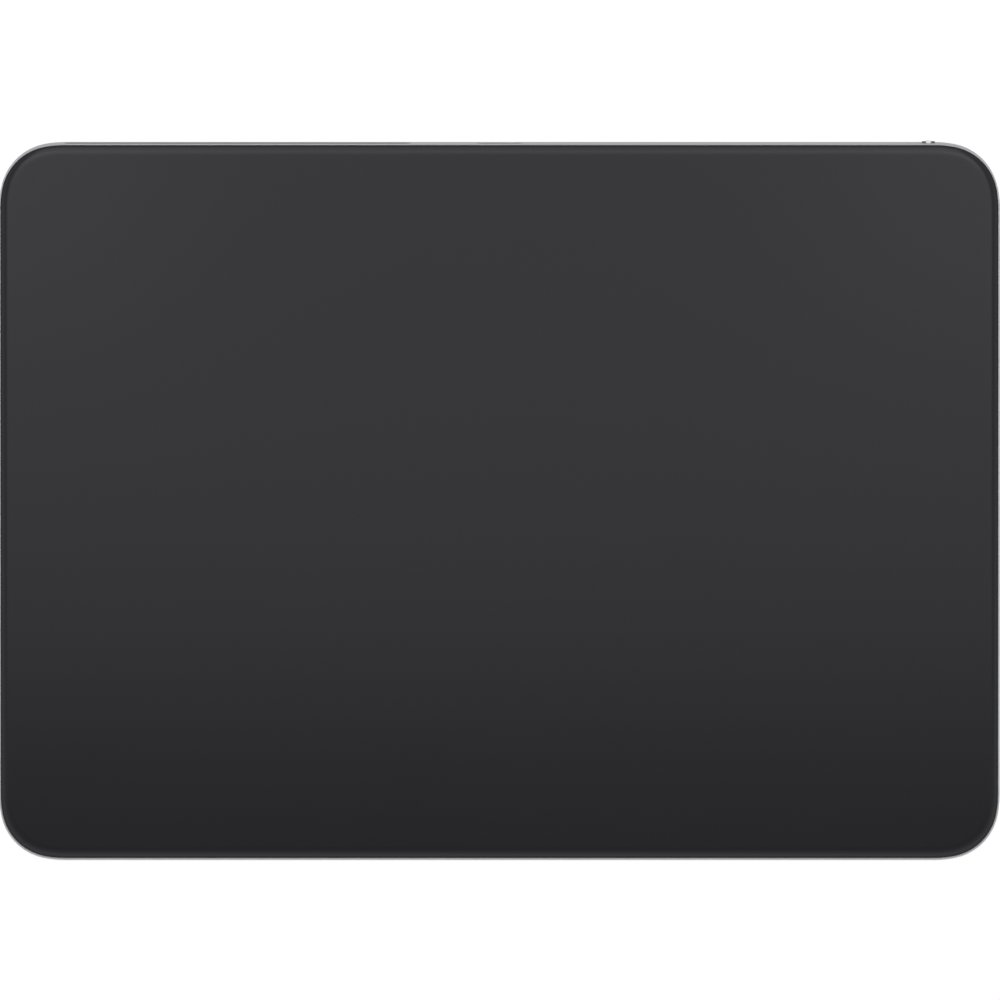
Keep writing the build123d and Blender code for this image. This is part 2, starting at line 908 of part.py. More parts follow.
def can_spot():
    return (can_left + can_right) / 2, logic_rear - can_inset / 2 - can_depth / 2


def shield_can():
    """A folded tin cover over the radio, open below."""
    outline = Pos(*can_spot()) * RectangleRounded(can_width, can_depth, board_corner_radius)
    can = level(outline, board_high, can_height)
    return can - level(offset(outline, -can_wall), board_high, can_height - can_wall)


# Chips on the logic board, by shares of its width and depth from its centre
logic_chip_shares = ((-0.27, -0.16), (0.0, -0.2), (0.30, 0.05), (0.33, 0.30), (-0.2, 0.3))


def logic_chips():
    """Chips on top of the board; the last one sits under the shield can."""
    large, middle, small = large_chip_width, middle_chip_width, small_chip_width
    sides = (large, middle, middle, small, large)
    chips = []
    for (x_share, y_share), side in zip(logic_chip_shares, sides):
        spot = Pos(logic_x + x_share * logic_width, logic_y + y_share * logic_depth)
        chips.append(level(spot * Rectangle(side, side), board_high, chip_height))
    return Compound(chips)


def board_sockets():
    """Sockets on the logic board's underside, each pressed on the end of a flexible lead."""
    y = logic_rear - flex_lap - socket_depth / 2
    spots = [(port_flex_x, y), (switch_flex_x(), y), (battery_flex_x, y)]
    spots.append((logic_left + socket_length / 2 + board_edge, haptic_flex_y()))
    low = plate_high + flex_thickness
    sockets = [
        level(Pos(*spot) * Rectangle(socket_length, socket_depth), low, board_low - low)
        for spot in spots
    ]
    return Compound(sockets)


def antenna_window():
    """The plastic strip in the rear wall, flush with the metal."""
    strip_outline = SlotOverall(strip_length - 2 * strip_gap, strip_height - 2 * strip_gap)
    return behind_wall(strip_outline, strip_x, 0, wall_thickness)


def antenna_bar():
    """The plastic bar that holds the antenna element close behind the strip."""
    length = strip_length - 2 * antenna_bar_end_gap
    start = wall_thickness + antenna_bar_gap
    return behind_wall(Rectangle(length, antenna_bar_height), strip_x, start, antenna_bar_depth)


def antenna_element():
    """A copper foil on the bar, slit from both sides into a zigzag."""
    length = strip_length - 4 * antenna_bar_end_gap
    foil = Rectangle(length, element_width)
    pitch = length / (element_slit_count + 1)
    for i in range(element_slit_count):
        side = 1 if i % 2 else -1
        x = (i + 1) * pitch - length / 2
        foil -= Pos(x, side * element_width / 4) * Rectangle(element_slit, element_width)
    start = wall_thickness + antenna_bar_gap - element_thickness
    return behind_wall(foil, strip_x, start, element_thickness)


def antenna_lead():
    """A thin coaxial lead from the antenna bar, behind the battery and on to the logic board."""
    start_x = -strip_right_end - lead_start_inset
    bar_v = body_rear - wall_thickness - antenna_bar_gap - antenna_bar_depth
    start_depth = feature_depth + antenna_bar_height / 4
    start_z = middle_height + bar_v * sin(tilt) - start_depth * cos(tilt)
    low = plate_high + flex_thickness + lead_clearance + lead_radius
    run_y = battery_rear + battery_gap + lead_clearance + lead_radius + lead_clearance
    turn_x = port_flex_x + flex_width / 2 + lead_bend + lead_radius
    ease = 2.5 * lead_bend
    start_y = y_of(bar_v, start_depth)
    route = [
        (start_x, start_y, start_z),
        (start_x, (start_y + run_y) / 2, (start_z + low) / 2),
        (start_x + ease, run_y, low),
        (turn_x, run_y, low),
        (turn_x, logic_rear + lead_clearance, low),
    ]
    path = FilletPolyline(*route, radius=lead_bend)
    section = Plane(origin=path @ 0, z_dir=path % 0) * Circle(lead_radius)
    return sweep(section, path=path)


def port_insulator():
    """The black moulding that fills the port's opening, with the plug's cavity."""
    width = port_width - 2 * port_insulator_gap
    height = port_height - 2 * port_insulator_gap
    block = behind_wall(SlotOverall(width, height), 0, port_set_in, port_depth)
    cavity = SlotOverall(cavity_width, cavity_height)
    return block - behind_wall(cavity, 0, port_set_in, cavity_depth)


def port_shell():
    """The steel can round the moulding, behind the wall, closed at its back."""
    start = wall_thickness + port_shell_behind_wall
    room = port_set_in + port_depth + port_shell_gap - start
    inner_width = port_shell_width - 2 * port_shell_wall
    inside = SlotOverall(inner_width, port_shell_height - 2 * port_shell_wall)
    outside = SlotOverall(port_shell_width, port_shell_height)
    can = behind_wall(outside, 0, start, room + port_shell_wall)
    return can - behind_wall(inside, 0, start, room)


def port_contacts():
    """A row of gold contacts on the floor of the plug's cavity."""
    v = body_rear - port_set_in - cavity_depth + contact_length / 2
    depth = feature_depth + cavity_height / 2 - contact_thickness
    blade = Rectangle(contact_width, contact_length)
    contacts = [
        layer(
            blade,
            depth,
            contact_thickness,
            deck_place * Pos((i - (contact_count - 1) / 2) * contact_pitch, v, 0),
        )
        for i in range(contact_count)
    ]
    return Compound(contacts)


def port_board():
    v = body_rear - port_board_start - port_board_depth / 2
    outline = RectangleRounded(port_board_width, port_board_depth, board_corner_radius)
    board = layer(outline, port_board_top, small_board_thickness, deck_place * Pos(0, v, 0))
    for x, v in port_screw_spots():
        board -= deck_place * Pos(x, v, -port_board_top) * screw_hole(small_board_thickness)
    return board


def port_screws():
    screws = [
        deck_place * Pos(x, v, -port_board_top) * screw(board_screw_length)
        for x, v in port_screw_spots()
    ]
    return Compound(screws)


def power_switch_knob():
    """The dark slider that stands a little proud of the wall, with a groove for its ridge."""
    outline = SlotOverall(knob_width, knob_height)
    knob = behind_wall(outline, knob_x, -knob_proud, knob_proud + shutter_start)
    groove = Rectangle(ridge_width, knob_height)
    return knob - behind_wall(groove, knob_x, -knob_proud, ridge_seat)


def switch_ridge():
    """The bright metal ridge set across the middle of the knob."""
    outline = Rectangle(ridge_width - 2 * ridge_play, knob_height - 4 * ridge_play)
    start = -knob_proud - ridge_proud
    return behind_wall(outline, knob_x, start, ridge_proud + ridge_seat)


def switch_shutter():
    """The strip behind the knob that keeps the slot closed wherever the knob stands."""
    outline = Rectangle(shutter_width, shutter_height)
    return behind_wall(outline, shutter_x, shutter_start, shutter_thickness)


def switch_lever():
    """The lever from the shutter into the slide switch."""
    start = shutter_start + shutter_thickness
    length = switch_body_start + lever_entry - start
    return behind_wall(Rectangle(lever_width, lever_height), knob_x, start, length)


def slide_switch_body():
    """The slide switch, with a channel for its lever's travel."""
    outline = Rectangle(switch_body_width, switch_body_height)
    body = behind_wall(outline, switch_x, switch_body_start, switch_body_depth)
    channel = Rectangle(
        lever_width + knob_travel + 2 * lever_play, lever_height + 2 * lever_play
    )
    return body - behind_wall(channel, switch_x, switch_body_start, lever_entry + lever_play)


def switch_board():
    v = body_rear - switch_board_start() - switch_board_depth / 2
    outline = RectangleRounded(switch_board_width, switch_board_depth, board_corner_radius)
    place = deck_place * Pos(switch_x, v, 0)
    board = layer(outline, switch_board_top, small_board_thickness, place)
    for x, v in switch_screw_spots():
        board -= deck_place * Pos(x, v, -switch_board_top) * screw_hole(small_board_thickness)
    return board


def switch_screws():
    screws = [
        deck_place * Pos(x, v, -switch_board_top) * screw(board_screw_length)
        for x, v in switch_screw_spots()
    ]
    return Compound(screws)


# Every piece by name; the pieces that repeat at the corners get a node each
makers = [
    touch_glass, glass_bond, touch_sensor_board, sensor_chips, carrier_plate, armature_plate,
    rim_seal, gel_pads, load_buttons, strain_gauges, arm_screws, housing, bottom_cover,
    cover_bond, chassis_plate, plate_screws, haptic_core, haptic_coils, haptic_bracket,
    haptic_screws, haptic_flex, battery_cell, battery_bond, battery_guard_board, battery_tabs,
    battery_flex, logic_board, logic_screws, logic_chips, shield_can, board_sockets,
    sensor_flex, antenna_window, antenna_bar, antenna_element, antenna_lead, port_insulator,
    port_shell, port_contacts, port_board, port_screws, port_flex, power_switch_knob,
    switch_ridge, switch_shutter, switch_lever, slide_switch_body, switch_board,
    switch_screws, switch_flex,
]
corner_names = ("front_left", "front_right", "rear_left", "rear_right")


def all_pieces():
    pieces = {maker.__name__: maker() for maker in makers}
    for corner, point in zip(corner_names, load_points()):
        pieces[f"force_arm_{corner}"] = force_arm(*point)
    for corner, spot in foot_spots().items():
        pieces[f"foot_{corner}"] = foot(*spot)
    return pieces


for name, shape in all_pieces().items():
    export_step(shape, f"parts/{name}.step")
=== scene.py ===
# %% [markdown]
# # A thin desktop trackpad, dressed for its portrait
#
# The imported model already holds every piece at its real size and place. This lesson adds what
# the eye judges: etched black glass with a soft edge, blasted aluminium, moulded plastics,
# plated steel, and the light of a white studio. Nothing of the frame is moved or resized.

# %% Load the frame
import json
import math

import bmesh
import bpy
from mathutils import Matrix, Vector


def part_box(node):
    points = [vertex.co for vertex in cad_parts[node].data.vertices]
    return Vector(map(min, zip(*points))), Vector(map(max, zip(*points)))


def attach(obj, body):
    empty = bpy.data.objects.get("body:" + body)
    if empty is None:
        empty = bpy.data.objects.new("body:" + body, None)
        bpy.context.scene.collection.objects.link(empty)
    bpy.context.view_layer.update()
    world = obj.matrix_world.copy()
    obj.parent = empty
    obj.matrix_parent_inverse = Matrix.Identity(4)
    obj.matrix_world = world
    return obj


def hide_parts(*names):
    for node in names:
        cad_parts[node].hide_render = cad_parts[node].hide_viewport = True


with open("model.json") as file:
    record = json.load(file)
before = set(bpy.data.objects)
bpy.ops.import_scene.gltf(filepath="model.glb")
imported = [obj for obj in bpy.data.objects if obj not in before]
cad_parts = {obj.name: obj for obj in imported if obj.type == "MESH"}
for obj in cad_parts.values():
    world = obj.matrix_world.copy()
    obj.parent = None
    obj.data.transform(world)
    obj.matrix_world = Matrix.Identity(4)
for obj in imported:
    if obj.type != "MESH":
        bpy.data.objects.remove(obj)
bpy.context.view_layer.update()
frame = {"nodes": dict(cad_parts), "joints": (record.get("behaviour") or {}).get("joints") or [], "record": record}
nodes = frame["nodes"]
MM = 0.001

# %% [markdown]
# ## The touch surface's own directions
#
# The body is a wedge, so the glass leans forward by about three degrees. The press joint moves
# square to the glass, so its axis gives that lean exactly. From it come three directions:
# across, along (to the rear, up the slope) and up (out of the glass). Building in these
# directions is simpler than building level and turning the result afterwards.

# %% Directions and the plane of the glass
press_joint = next(joint for joint in frame["joints"] if joint["name"] == "touch_press")
up = -Vector(press_joint["axis"]).normalized()
across = Vector((1, 0, 0))
along = up.cross(across)


def reach(node, direction):
    """How far a frame node reaches along a direction: lowest and highest."""
    distances = [vertex.co.dot(direction) for vertex in nodes[node].data.vertices]
    return min(distances), max(distances)


surface_height = reach("touch_glass", up)[1]


def deck_point(u, v, depth):
    """A point given across, along and below the touch surface."""
    return across * u + along * v + up * (surface_height - depth)


print("lean in degrees:", round(math.degrees(math.asin(along.z)), 3))

# %% [markdown]
# ## The camera
#
# The photograph is taken from straight above, square to the desk, and from so far away that
# the front and the rear edge have the same width. A long lens high overhead does the same.
# The lens follows from the scale: the body is 160 mm wide and fills all 1000 pixels. They
# see nothing beyond ten, so the camera can't stand much higher than this.

# %% Camera
PICTURE_PIXELS = 1000
PIXELS_PER_MM = 6.258
OBJECT_CENTRE_PIXEL = (499.4, 501.0)
CAMERA_HEIGHT = 5.5


def put_in_scene(made):
    """Links a new object to the scene and hands it back."""
    bpy.context.scene.collection.objects.link(made)
    return made


pixel = MM / PIXELS_PER_MM
pixels_left = PICTURE_PIXELS / 2 - OBJECT_CENTRE_PIXEL[0]
pixels_low = OBJECT_CENTRE_PIXEL[1] - PICTURE_PIXELS / 2
picture_width = PICTURE_PIXELS * pixel
middle_height = surface_height / up.z

camera = put_in_scene(bpy.data.objects.new("camera", bpy.data.cameras.new("camera")))
bpy.context.scene.camera = camera
camera.location = (pixels_left * pixel, pixels_low * pixel, CAMERA_HEIGHT)
camera.data.lens = camera.data.sensor_width * (CAMERA_HEIGHT - middle_height) / picture_width
camera.data.clip_end = 2 * CAMERA_HEIGHT
print("lens in mm:", round(camera.data.lens, 1))

# %% [markdown]
# ## Shader maths as plain expressions
#
# A finish is easier to read as a formula than as a web of nodes. A small class wraps the
# output of a node, and its operators add Math nodes, so `0.3 + 0.1 * grain` is a roughness.
# The reflected forms make `1 - mask` work too. Every other node comes from one method.


# %% Signal
class Signal:
    """One number, colour or vector on its way through a finish."""

    def __init__(self, finish, socket):
        self.finish = finish
        self.socket = socket

    def maths(self, operation, *values):
        settings = {"operation": operation}
        return self.finish.node("ShaderNodeMath", settings, dict(enumerate(values)))

    def __add__(self, other):
        return self.maths("ADD", self, other)

    def __radd__(self, other):
        return self.maths("ADD", other, self)

    def __sub__(self, other):
        return self.maths("SUBTRACT", self, other)

    def __rsub__(self, other):
        return self.maths("SUBTRACT", other, self)

    def __mul__(self, other):
        return self.maths("MULTIPLY", self, other)

    def __rmul__(self, other):
        return self.maths("MULTIPLY", other, self)


print("a signal can be added, subtracted and multiplied")

# %% [markdown]
# ## Finishes
#
# A finish is a tree of nodes. Its one method takes a node's type, its settings, and the
# values or links of its sockets. Three short methods on top of it make what nearly every
# surface here needs: soft noise at a real size, a blend of two colours, and a fine bump.


# %% Finish
class Finish:
    """A node tree, either a material's or the world's, with one way to add nodes."""

    def __init__(self, tree):
        self.tree = tree
        self.tree.nodes.clear()

    def node(self, kind, settings=None, inputs=None, output=0):
        made = self.tree.nodes.new(kind)
        for name, value in (settings or {}).items():
            if name == "stops":
                self.set_stops(made.color_ramp, value)
            else:
                setattr(made, name, value)
        for name, value in (inputs or {}).items():
            self.plug(value, made.inputs[name])
        return Signal(self, made.outputs[output]) if made.outputs else made

    def plug(self, value, socket):
        if isinstance(value, Signal):
            self.tree.links.new(value.socket, socket)
        else:
            socket.default_value = value

    def set_stops(self, ramp, stops):
        for place, (position, colour) in enumerate(stops):
            stop = ramp.elements[place] if place < 2 else ramp.elements.new(position)
            stop.position = position
            stop.color = (*colour, 1)

    def places(self):
        return self.node("ShaderNodeTexCoord", output="Object")

    def noise(self, size, detail, roughness=0.5):
        """Soft random patches of about that size, from 0 to 1."""
        inputs = {"Vector": self.places(), "Scale": 1 / size}
        inputs |= {"Detail": detail, "Roughness": roughness}
        return self.node("ShaderNodeTexNoise", None, inputs)

    def mix(self, factor, first, second):
        """A colour between two others: a Mix node's colours are inputs 6 and 7, output 2."""
        inputs = {"Factor": factor, 6: (*first, 1), 7: (*second, 1)}
        return self.node("ShaderNodeMix", {"data_type": "RGBA"}, inputs, output=2)

    def bump(self, height, depth, strength=1.0):
        inputs = {"Height": height, "Distance": depth, "Strength": strength}
        return self.node("ShaderNodeBump", None, inputs)


def material(name, **sockets):
    """A new material with one Principled shader; returns the material and its finish."""
    made = bpy.data.materials.new(name)
    made.use_nodes = True
    finish = Finish(made.node_tree)
    shader = finish.node("ShaderNodeBsdfPrincipled")
    finish.node("ShaderNodeOutputMaterial", None, {"Surface": shader})
    finish.shader = shader.socket.node
    for socket, value in sockets.items():
        finish.shader.inputs[socket.replace("_", " ")].default_value = value
    return made, finish


def wire(finish, **sockets):
    """Plugs what changes over the surface into the finish's shader."""
    for socket, value in sockets.items():
        finish.plug(value, finish.shader.inputs[socket.replace("_", " ")])


finishes = {}
print("finish helpers ready")

# %% [markdown]
# ## Etched black glass
#
# The touch surface is clear glass, printed black behind and etched on top so that a finger
# glides. Etching turns a mirror into a satin: the shine of the softbox is spread wide and
# dim. One Principled shader with a nearly black base, glass's index of refraction and a low
# roughness does that. A fine bump stands for the etching, and faint broad patches in the
# roughness stand for how hands polish it.


# %% Glass finish
def etched_glass():
    made, finish = material("etched_glass", IOR=1.5)
    grain = finish.noise(0.12 * MM, detail=3)
    patches = finish.noise(22 * MM, detail=2)
    wire(
        finish,
        Base_Color=finish.mix(grain, (0.0030, 0.0032, 0.0060), (0.0048, 0.0050, 0.0084)),
        Roughness=0.20 + 0.03 * grain + 0.03 * patches,
        Normal=finish.bump(grain, 0.0006 * MM),
    )
    return made


finishes["etched_glass"] = etched_glass()
print("finishes:", *finishes)

# %% [markdown]
# ## Blasted aluminium
#
# The body is milled, blasted with fine beads and anodised. That gives a silver that is bright
# but never mirrors: a metallic shader with a soft roughness, whose grain is a tenth of a
# millimetre. The anodised film makes the tone wander a little from place to place.


# %% Aluminium finish
def blasted_aluminium():
    made, finish = material("blasted_aluminium", Metallic=1.0)
    grain = finish.noise(0.11 * MM, detail=4, roughness=0.6)
    film = finish.noise(9 * MM, detail=3)
    wire(
        finish,
        Base_Color=finish.mix(film, (0.72, 0.725, 0.735), (0.77, 0.775, 0.78)),
        Roughness=0.44 + 0.10 * grain,
        Normal=finish.bump(grain, 0.012 * MM, 0.7),
    )
    return made


finishes["body_aluminium"] = blasted_aluminium()
print("finishes:", *finishes)

# %% [markdown]
# ## Rolled and plated metals
#
# The arms and plates inside are stamped from rolled sheet, whose surface has fine streaks
# along the rolling direction. Drawing and plating leave much the same on screws, contacts and
# wire. Noise that is stretched some forty times along one direction gives such streaks, and
# they vary the tone, the roughness and a shallow bump together.

# %% Rolled metal finishes
STREAKS_PER_METRE = (60, 2500, 2500)
STREAK_GAIN = 1.12
STREAK_DEPTH = 0.002 * MM
METALS = {  # tone and roughness
    "plain_steel": ((0.50, 0.51, 0.52), 0.30),
    "bright_steel": ((0.70, 0.70, 0.70), 0.18),
    "gold_contact": ((0.80, 0.58, 0.24), 0.20),
    "copper_wire": ((0.66, 0.29, 0.13), 0.25),
    "iron_core": ((0.24, 0.25, 0.27), 0.40),
}


def rolled_metal(name, tone, roughness):
    made, finish = material(name, Metallic=1.0)
    stretch = {"Vector": finish.places(), "Scale": STREAKS_PER_METRE}
    inputs = {"Vector": finish.node("ShaderNodeMapping", None, stretch)}
    inputs |= {"Scale": 1.0, "Detail": 4.0}
    streaks = finish.node("ShaderNodeTexNoise", None, inputs)
    light = [STREAK_GAIN * level for level in tone]
    wire(
        finish,
        Base_Color=finish.mix(streaks, tone, light),
        Roughness=roughness + 0.12 * streaks,
        Normal=finish.bump(streaks, STREAK_DEPTH, 0.5),
    )
    return made


for name, (tone, roughness) in METALS.items():
    finishes[name] = rolled_metal(name, tone, roughness)
print("metals:", *METALS)

# %% [markdown]
# ## Moulded plastics, rubber and films
#
# Plastic parts take the texture of their mould: a fine even grain that softens their shine.
# Rubber is the same with a rougher, deeper grain, and adhesive films are nearly smooth. One
# function makes them all from a colour, a roughness, a grain size and a grain depth. Bent
# film and gel shine under a thin clear coat, and the antenna strip's plastic hardly shines.

# %% Moulded finishes
CLOUD_SIZE = 40  # grains
CLOUD_TONE = 0.93
MOULDED = {  # colour, roughness, and the grain's size and depth in millimetres
    "cover_plastic": ((0.50, 0.51, 0.52), 0.55, 0.25, 0.010),
    "foot_rubber": ((0.19, 0.19, 0.20), 0.75, 0.35, 0.03),
    "dark_plastic": ((0.045, 0.045, 0.047), 0.60, 0.15, 0.006),
    # The knob's grey is partly its own colour and partly painted shade: it is darkened for the shade of the slot
    # around the knob.
    "knob_grey_painted_shade": ((0.17, 0.17, 0.175), 0.40, 0.12, 0.004),
    "slider_plastic": ((0.36, 0.37, 0.38), 0.45, 0.2, 0.006),
    "chip_black": ((0.018, 0.018, 0.019), 0.5, 0.08, 0.004),
    "flex_film": ((0.30, 0.15, 0.04), 0.30, 0.4, 0.002),
    "bond_film": ((0.03, 0.03, 0.03), 0.45, 0.3, 0.003),
    "gel": ((0.42, 0.45, 0.50), 0.12, 0.5, 0.002),
    "cell_wrap": ((0.04, 0.04, 0.045), 0.35, 0.9, 0.03),
}
SHEEN = {
    "dark_plastic": {"Specular_IOR_Level": 0.08},
    "flex_film": {"Coat_Weight": 0.4},
    "gel": {"Coat_Weight": 0.6},
}


def moulded(name, colour, roughness, grain_size, grain_depth, **sheen):
    made, finish = material(name, **sheen)
    grain = finish.noise(grain_size, detail=3)
    cloud = finish.noise(CLOUD_SIZE * grain_size, detail=2)
    dark = [CLOUD_TONE * level for level in colour]
    wire(
        finish,
        Base_Color=finish.mix(cloud, dark, colour),
        Roughness=roughness + 0.12 * (grain - 0.5),
        Normal=finish.bump(grain, grain_depth),
    )
    return made


for name, (colour, roughness, size, depth) in MOULDED.items():
    sheen = SHEEN.get(name, {})
    finishes[name] = moulded(name, colour, roughness, size * MM, depth * MM, **sheen)
print("moulded:", *MOULDED)

# %% [markdown]
# ## Circuit boards
#
# A board is glass cloth under a green or black mask, with copper runs that show as slightly
# lighter lines. A brick pattern gives runs that stop and step sideways, as real ones do.


# %% Board finish
def circuit_board():
    made, finish = material("board_laminate", IOR=1.5)
    inputs = {"Vector": finish.places(), "Scale": 1.0, "Mortar Size": 0.11 * MM}
    inputs |= {"Brick Width": 4.6 * MM, "Row Height": 0.9 * MM, "Mortar Smooth": 0.2}
    runs = finish.node("ShaderNodeTexBrick", {"offset": 0.37}, inputs, output="Fac")
    weave = finish.noise(0.3 * MM, detail=2)
    wire(
        finish,
        Base_Color=finish.mix(runs, (0.010, 0.045, 0.032), (0.030, 0.105, 0.070)),
        Roughness=0.32 + 0.12 * weave,
        Normal=finish.bump(runs, 0.03 * MM, 0.5),
    )
    return made


finishes["board_laminate"] = circuit_board()
print("finishes:", len(finishes))

# %% [markdown]
# ## Which node wears which finish
#
# The record already says what every node is made of, by a slot name, and the finishes have
# the same names. So each node's material is looked up under its slot.

# %% Hand out the finishes
for subpart in frame["record"]["subparts"]:
    slots = nodes[subpart["node"]].data.materials
    for place in range(len(slots)):
        slots[place] = finishes[subpart["material_slot"]]

# %% [markdown]
# ## The soft outline
#
# Seen from above, the corners aren't plain quarter circles: each eases from the straight side
# through a wide arc into a tight one and out again, so no highlight breaks where they meet.
# The outline is made once, as points with the direction that faces outwards. Moving every
# point along its own direction then gives each smaller outline, evenly inset.

# %% Corner of the body
TIGHT_RADIUS = 8.7 * MM
EASING_RADIUS = 17.3 * MM
EASING_TURN = math.radians(11)
EASING_STEPS = 8
TIGHT_STEPS = 28
QUARTER = math.pi / 2


def corner_arcs(half_x, half_y):
    """The right rear corner's three arcs: centre, radius, first and last angle, steps."""
    spread = EASING_RADIUS - TIGHT_RADIUS
    lead_in = EASING_RADIUS - spread * (math.cos(EASING_TURN) - math.sin(EASING_TURN))
    flat_x, flat_y = half_x - lead_in, half_y - lead_in
    shift = spread * math.sin(EASING_TURN)
    tight_centre = (flat_x + shift, flat_y + shift)
    leave = QUARTER - EASING_TURN
    return [
        ((half_x - EASING_RADIUS, flat_y), EASING_RADIUS, 0, EASING_TURN, EASING_STEPS),
        (tight_centre, TIGHT_RADIUS, EASING_TURN, leave, TIGHT_STEPS),
        ((flat_x, half_y - EASING_RADIUS), EASING_RADIUS, leave, QUARTER, EASING_STEPS),
    ]


def corner_points(half_x, half_y):
    """Points of one corner, each with the direction that faces outwards."""
    points = []
    for (centre_x, centre_y), radius, first, last, steps in corner_arcs(half_x, half_y):
        for step in range(1 if points else 0, steps + 1):
            angle = first + (last - first) * step / steps
            out = (math.cos(angle), math.sin(angle))
            points.append((centre_x + radius * out[0], centre_y + radius * out[1], *out))
    return points


print("corner radii in mm:", round(TIGHT_RADIUS / MM, 1), round(EASING_RADIUS / MM, 1))

# %% Outline of the body
half_width = reach("housing", across)[1]
body_front, body_rear = reach("housing", along)


def soft_outline(half_x, half_y):
    """The whole outline, anticlockwise, from its four mirrored corners."""
    corner = corner_points(half_x, half_y)
    points = []
    for sign_x, sign_y in ((1, 1), (-1, 1), (-1, -1), (1, -1)):
        order = corner if sign_x * sign_y > 0 else reversed(corner)
        points += [(sign_x * x, sign_y * y, sign_x * a, sign_y * b) for x, y, a, b in order]
    return points


body_outline = soft_outline(half_width, (body_rear - body_front) / 2)
print(len(body_outline), "points round the body")

# %% [markdown]
# ## Lofting
#
# A chamfer shows two creases where a soft edge has none, so the rounded pieces are lofted
# instead: an outline is repeated at a list of steps, each a little further in or further
# down, and faces join each ring to the next. Another helper gives a finished piece its
# finish and the body that it moves with, and hides the frame node that it stands for.


# %% Loft and dress helpers
def solid(name, mesh):
    """An object in the scene from a finished mesh."""
    data = bpy.data.meshes.new(name)
    mesh.to_mesh(data)
    mesh.free()
    return put_in_scene(bpy.data.objects.new(name, data))


def loft(name, outline, section, place, hollow=False):
    """A solid whose rings follow an outline at (inset, depth) steps from its top to its foot.

    A hollow one is a closed ring instead: its last step joins its first.
    """
    mesh = bmesh.new()
    levels = [
        [mesh.verts.new(place(x - a * inset, y - b * inset, depth)) for x, y, a, b in outline]
        for inset, depth in section
    ]
    for upper, lower in zip(levels, levels[1:] + levels[:1] * hollow):
        for i in range(len(upper)):
            j = (i + 1) % len(upper)
            mesh.faces.new((upper[i], lower[i], lower[j], upper[j])).smooth = True
    if not hollow:
        mesh.faces.new(levels[0])
        mesh.faces.new(reversed(levels[-1]))
    mesh.normal_update()
    return solid(name, mesh)


def dress(piece, slot, body, *replaced, finish=None):
    """Gives a piece its finish and its body, and hides the frame nodes that it stands for."""
    piece.data.materials.append(finishes[finish or slot])
    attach(piece, body)
    if replaced:
        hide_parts(*replaced)
    print(piece.name, "has", len(piece.data.polygons), "faces")


print("loft and dress helpers ready")

# %% [markdown]
# ## The touch glass
#
# The glass is the whole portrait, and its rim is where the light plays: it rolls off softly
# over two millimetres, then turns down sharply. Its section is a smooth curve that starts
# level, so that the flat and the roll-off meet with no visible line. The flat lies 0.06 mm
# lower than the frame's, because the softer curve starts later on the rise to the rear and
# would otherwise stand that much above the frame's highest point.

# %% Section of the glass
ROLL_WIDTH = 2.0 * MM
ROLL_DROP = 0.42 * MM
ROLL_POWER = 3.2
ROLL_STEPS = 18
FLAT_DEPTH = 0.06 * MM
FLAT_SHARES = (1.25, 1.1)
BROW_RADIUS = 0.18 * MM
BROW_STEPS = 6
UNDER_CHAMFER = 0.1 * MM

glass_edge = half_width - reach("touch_glass", across)[1]
glass_bottom = surface_height - reach("touch_glass", up)[0]


def roll_depth(share):
    """The depth of the roll-off, for a share from 0 at its start to 1 at the brow."""
    return FLAT_DEPTH + ROLL_DROP * share**ROLL_POWER


def glass_section():
    """Insets and depths from the flat, over the roll-off and the brow, to the underside."""
    slope = math.atan(ROLL_POWER * ROLL_DROP / ROLL_WIDTH)
    brow = glass_edge + BROW_RADIUS * (1 - math.sin(slope))
    section = [(brow + share * ROLL_WIDTH, FLAT_DEPTH) for share in FLAT_SHARES]
    for step in range(ROLL_STEPS + 1):
        share = step / ROLL_STEPS
        section.append((brow + ROLL_WIDTH * (1 - share), roll_depth(share)))
    for step in range(1, BROW_STEPS + 1):
        angle = slope + (QUARTER - slope) * step / BROW_STEPS
        inset = glass_edge + BROW_RADIUS * (1 - math.sin(angle))
        drop = BROW_RADIUS * (math.cos(slope) - math.cos(angle))
        section.append((inset, roll_depth(1) + drop))
    section.append((glass_edge, glass_bottom - UNDER_CHAMFER))
    section.append((glass_edge + UNDER_CHAMFER, glass_bottom))
    return section


print("the glass lies", round(glass_edge / MM, 2), "mm inside the body's edge")

# %% Touch glass
glass_low, glass_high = reach("touch_glass", along)
glass_centre = (glass_low + glass_high) / 2


def on_glass(x, y, depth):
    return deck_point(x, glass_centre + y, depth)


glass = loft("touch_glass_rolled", body_outline, glass_section(), on_glass)
dress(glass, "etched_glass", "touch_plate", "touch_glass")

# %% [markdown]
# ## The slide switch
#
# A pill-shaped knob sits in its slot in the rear wall, and a pale ridge let into it gives the
# fingertip something to push. The frame's nodes have the right shape but sharp edges, and a
# moulded part has none. A copy of each, with its flat faces merged and its sharp edges
# bevelled, takes the light as the real one does. Weighted normals keep the flats flat.

# %% Knob and ridge
KNOB_ROUND = 0.10 * MM
RIDGE_ROUND = 0.08 * MM
ROUND_STEPS = 4
SAME_POINT = 0.001 * MM
FLAT_ANGLE = math.radians(1)
SHARP_ANGLE = math.radians(40)


def is_sharp(edge):
    return edge.is_manifold and edge.calc_face_angle() > SHARP_ANGLE


